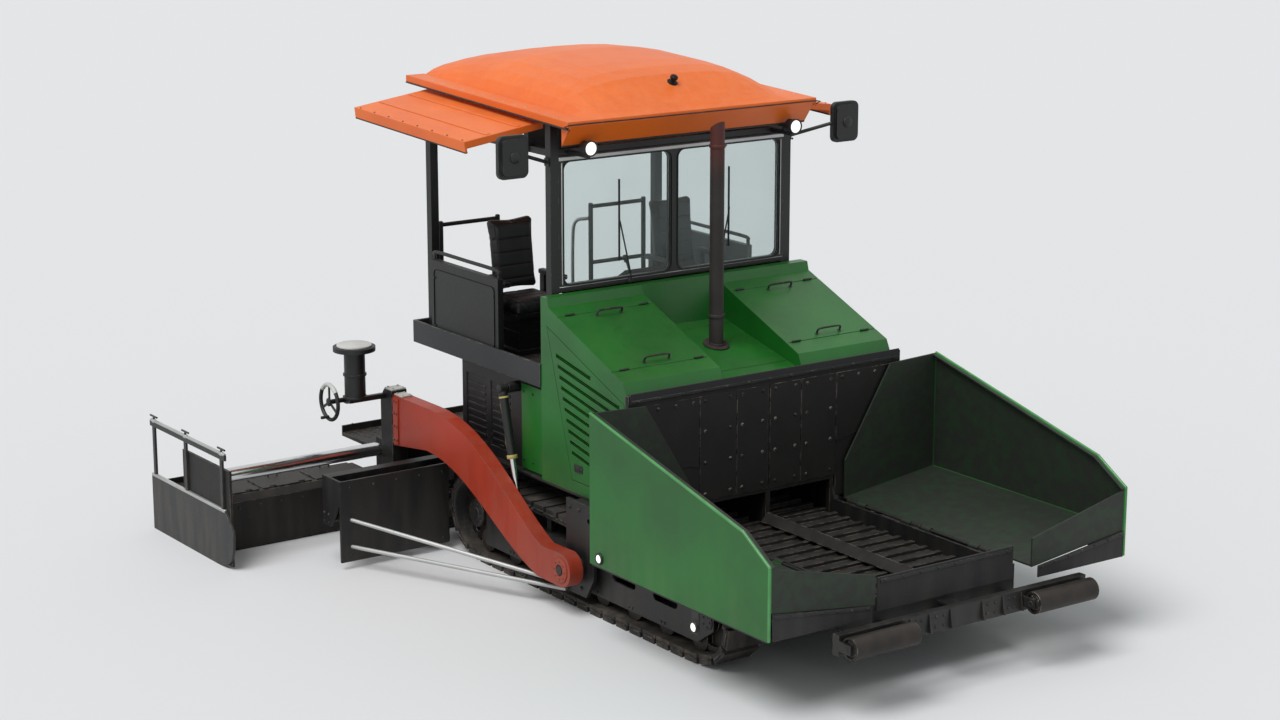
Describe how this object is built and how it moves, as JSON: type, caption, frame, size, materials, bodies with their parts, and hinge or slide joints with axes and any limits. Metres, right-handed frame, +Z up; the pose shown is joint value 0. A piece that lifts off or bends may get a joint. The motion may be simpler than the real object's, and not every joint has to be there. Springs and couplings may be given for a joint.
{
  "type": "asphalt paver",
  "caption": "Tracked road paver with a front hopper, slat conveyors, augers, a roofed operator's platform and a towed screed with sliding extensions",
  "frame": {"origin": "on the ground, in the middle of the machine's length and width", "axes": "+X is forward, +Y is to the driver's left, +Z is up"},
  "size_m": [6.78, 5.9906, 3.9579],
  "materials": {
    "black_paint": "satin black paint, dusty and worn at the edges",
    "dark_steel": "dark oiled steel, rubbed brighter where it runs",
    "grey_paint": "dark grey paint with worn edges",
    "chromed_rod": "hard chromed and polished",
    "galvanised_steel": "galvanised tube, dull and stained",
    "rubber": "black rubber, grey with dust",
    "green_paint": "gloss green paint with light dust",
    "red_paint": "orange red paint, chipped at the edges",
    "orange_shell": "moulded orange shell, slightly faded",
    "seat_vinyl": "black grained vinyl with seams",
    "glass": "clear safety glass",
    "lamp_lens": "clear lens over a bright reflector"
  },
  "bodies": {
    "tractor": {"main_frame": "black_paint", "engine_block": "dark_steel", "track_frames": "black_paint", "track_wheels": "dark_steel", "track_right": "rubber", "track_left": "rubber", "conveyor_slats": "dark_steel", "conveyor_ridge": "black_paint", "bulkhead": "black_paint", "front_apron": "rubber", "tow_brackets": "black_paint", "tie_down_eyes": "dark_steel", "hood": "green_paint", "side_panels": "green_paint", "exhaust_stack": "dark_steel", "rear_body": "black_paint", "platform": "grey_paint", "access_steps": "grey_paint", "guard_rails": "black_paint", "operator_console": "black_paint", "seat_pedestals": "black_paint", "seat_cushions": "seat_vinyl", "canopy_frame": "black_paint", "roof": "orange_shell", "windscreen_frame": "black_paint", "windscreen_glass": "glass", "work_lights": "lamp_lens", "mirrors": "black_paint", "auger_support": "black_paint", "auger_struts": "galvanised_steel"},
    "wing_right": {"wing_right": "green_paint"},
    "wing_left": {"wing_left": "green_paint"},
    "wing_barrel_right": {"wing_barrel_right": "black_paint"},
    "wing_barrel_left": {"wing_barrel_left": "black_paint"},
    "wing_rod_right": {"wing_rod_right": "chromed_rod"},
    "wing_rod_left": {"wing_rod_left": "chromed_rod"},
    "push_beam": {"push_beam": "black_paint"},
    "push_roller_right": {"push_roller_right": "dark_steel"},
    "push_roller_left": {"push_roller_left": "dark_steel"},
    "side_door_right": {"side_door_right": "green_paint"},
    "side_door_left": {"side_door_left": "green_paint"},
    "awning_right": {"awning_right": "orange_shell"},
    "awning_left": {"awning_left": "orange_shell"},
    "auger_right": {"auger_right": "dark_steel"},
    "auger_left": {"auger_left": "dark_steel"},
    "screed": {"tow_arms": "red_paint", "base_screed": "black_paint", "control_stands": "black_paint"},
    "extension_right": {"extension_right": "black_paint", "end_gate_right": "grey_paint"},
    "extension_left": {"extension_left": "black_paint", "end_gate_left": "grey_paint"},
    "lift_barrels": {"lift_barrels": "black_paint"},
    "lift_rods": {"lift_rods": "chromed_rod"}
  },
  "joints": [
    {"name": "wing_fold_right", "type": "hinge", "parent": "tractor", "child": "wing_right", "pos_m": [2.06, -0.69, 0.7], "axis": [-1, 0, 0], "range_deg": [0, 48]},
    {"name": "wing_ram_turn_right", "type": "hinge", "parent": "tractor", "child": "wing_barrel_right", "pos_m": [2.4, -0.72, 0.43], "axis": [-1, 0, 0], "range_deg": [0, 37.51]},
    {"name": "wing_ram_slide_right", "type": "slide", "parent": "wing_barrel_right", "child": "wing_rod_right", "axis": [0, -0.9096, 0.4156], "range_m": [0, 0.1778]},
    {"name": "wing_fold_left", "type": "hinge", "parent": "tractor", "child": "wing_left", "pos_m": [2.06, 0.69, 0.7], "axis": [1, 0, 0], "range_deg": [0, 48]},
    {"name": "wing_ram_turn_left", "type": "hinge", "parent": "tractor", "child": "wing_barrel_left", "pos_m": [2.4, 0.72, 0.43], "axis": [1, 0, 0], "range_deg": [0, 37.51]},
    {"name": "wing_ram_slide_left", "type": "slide", "parent": "wing_barrel_left", "child": "wing_rod_left", "axis": [0, 0.9096, 0.4156], "range_m": [0, 0.1778]},
    {"name": "push_beam_swing", "type": "hinge", "parent": "tractor", "child": "push_beam", "pos_m": [3.11, 0, 0.515], "axis": [0, 0, 1], "range_deg": [-6, 6]},
    {"name": "push_roller_turn_right", "type": "hinge", "parent": "push_beam", "child": "push_roller_right", "pos_m": [3.31, -0.825, 0.515], "axis": [0, 1, 0], "continuous": true},
    {"name": "push_roller_turn_left", "type": "hinge", "parent": "push_beam", "child": "push_roller_left", "pos_m": [3.31, 0.825, 0.515], "axis": [0, 1, 0], "continuous": true},
    {"name": "side_door_swing_right", "type": "hinge", "parent": "tractor", "child": "side_door_right", "pos_m": [0.913, -1.25, 1.3], "axis": [0, 0, 1], "range_deg": [0, 90]},
    {"name": "awning_slide_right", "type": "slide", "parent": "tractor", "child": "awning_right", "axis": [0, -0.9903, -0.1392], "range_m": [-0.56, 0]},
    {"name": "auger_turn_right", "type": "hinge", "parent": "tractor", "child": "auger_right", "pos_m": [-1.72, -1.15, 0.38], "axis": [0, 1, 0], "continuous": true},
    {"name": "side_door_swing_left", "type": "hinge", "parent": "tractor", "child": "side_door_left", "pos_m": [0.913, 1.25, 1.3], "axis": [0, 0, -1], "range_deg": [0, 90]},
    {"name": "awning_slide_left", "type": "slide", "parent": "tractor", "child": "awning_left", "axis": [0, 0.9903, -0.1392], "range_m": [-0.56, 0]},
    {"name": "auger_turn_left", "type": "hinge", "parent": "tractor", "child": "auger_left", "pos_m": [-1.72, 1.15, 0.38], "axis": [0, 1, 0], "continuous": true},
    {"name": "screed_lift", "type": "hinge", "parent": "tractor", "child": "screed", "pos_m": [0.42, 0, 0.365], "axis": [0, 1, 0], "range_deg": [0, 7]},
    {"name": "lift_ram_turn", "type": "hinge", "parent": "tractor", "child": "lift_barrels", "pos_m": [-0.61, 0, 1.52], "axis": [0, -1, 0], "range_deg": [0, 4.31]},
    {"name": "lift_ram_slide", "type": "slide", "parent": "lift_barrels", "child": "lift_rods", "axis": [-0.2425, 0, 0.9701], "range_m": [0, 0.0824]},
    {"name": "extension_slide_right", "type": "slide", "parent": "screed", "child": "extension_right", "axis": [0, -1, 0], "range_m": [-1.45, 0.05]},
    {"name": "extension_slide_left", "type": "slide", "parent": "screed", "child": "extension_left", "axis": [0, 1, 0], "range_m": [-1.45, 0.05]}
  ],
  "couplings": [
    {"joint": "wing_ram_turn_right", "follows": "wing_fold_right", "ratio": 0.7813},
    {"joint": "wing_ram_slide_right", "follows": "wing_fold_right", "m_per_rad": 0.21165},
    {"joint": "wing_ram_turn_left", "follows": "wing_fold_left", "ratio": 0.7813},
    {"joint": "wing_ram_slide_left", "follows": "wing_fold_left", "m_per_rad": 0.21165},
    {"joint": "lift_ram_turn", "follows": "screed_lift", "ratio": 0.6137},
    {"joint": "lift_ram_slide", "follows": "screed_lift", "m_per_rad": 0.67009}
  ]
}
